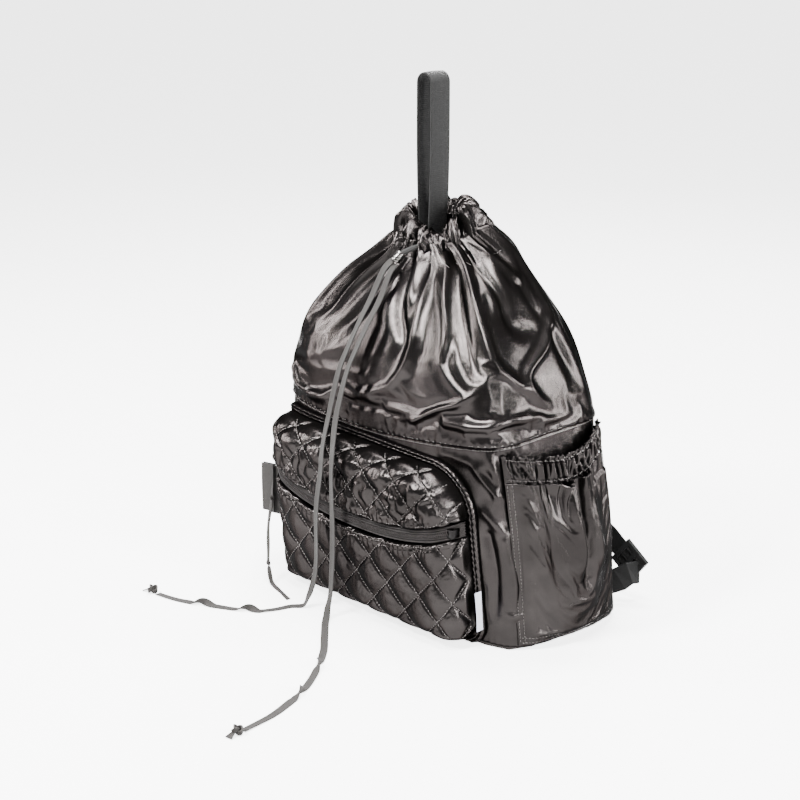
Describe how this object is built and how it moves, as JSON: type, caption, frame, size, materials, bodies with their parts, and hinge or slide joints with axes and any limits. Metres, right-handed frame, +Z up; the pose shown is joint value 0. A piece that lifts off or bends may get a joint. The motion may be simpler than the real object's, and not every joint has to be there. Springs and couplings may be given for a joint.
{
  "type": "drawstring backpack",
  "caption": "Soft backpack with a gathered drawstring mouth, a quilted zipped front pocket, elastic side pockets, a webbing carry loop and shoulder straps, standing on its flat base.",
  "frame": {"origin": "middle of the flat base's underside, on the surface that the bag stands on", "axes": "+Z up to the carry loop; -Y is the front with the quilted pocket; +X is the bag's right side as seen from the front"},
  "size_m": [0.3877, 0.4929, 0.528],
  "materials": {
    "coated_cloth": "gunmetal coated nylon with a metallic lustre, finely creased",
    "quilted_cloth": "gunmetal coated nylon, diamond quilted over padding",
    "zip_tape": "dark woven zip tape",
    "zip_coil": "dark nylon zip coil",
    "nickel": "polished nickel",
    "grey_tape": "flat woven grey lace",
    "black_webbing": "black woven webbing",
    "black_plastic": "moulded black plastic",
    "label_cloth": "blank white woven label"
  },
  "bodies": {
    "root": {"base_panel": "coated_cloth", "lower_body": "coated_cloth", "upper_sack": "coated_cloth", "mouth_casing": "coated_cloth", "pocket_upper_panel": "quilted_cloth", "pocket_lower_panel": "quilted_cloth", "pocket_zip_tape": "zip_tape", "zip_coil": "zip_coil", "zip_slider": "nickel", "zip_end_stop": "nickel", "zip_pull_tab": "grey_tape", "zip_pull_tail": "grey_tape", "pocket_binding": "coated_cloth", "label_tab": "label_cloth", "side_pocket_right": "coated_cloth", "side_pocket_left": "coated_cloth", "side_band_right": "coated_cloth", "side_band_left": "coated_cloth", "handle_loop": "black_webbing", "cord_stop": "nickel", "lace_root": "grey_tape", "lace_a": "grey_tape", "lace_b": "grey_tape", "lace_knot_a": "grey_tape", "lace_knot_b": "grey_tape", "shoulder_strap_right": "coated_cloth", "shoulder_strap_left": "coated_cloth", "strap_webbing_right": "black_webbing", "strap_webbing_left": "black_webbing", "strap_buckle_right": "black_plastic", "strap_buckle_left": "black_plastic", "strap_anchor_right": "black_webbing", "strap_anchor_left": "black_webbing"}
  },
  "joints": []
}
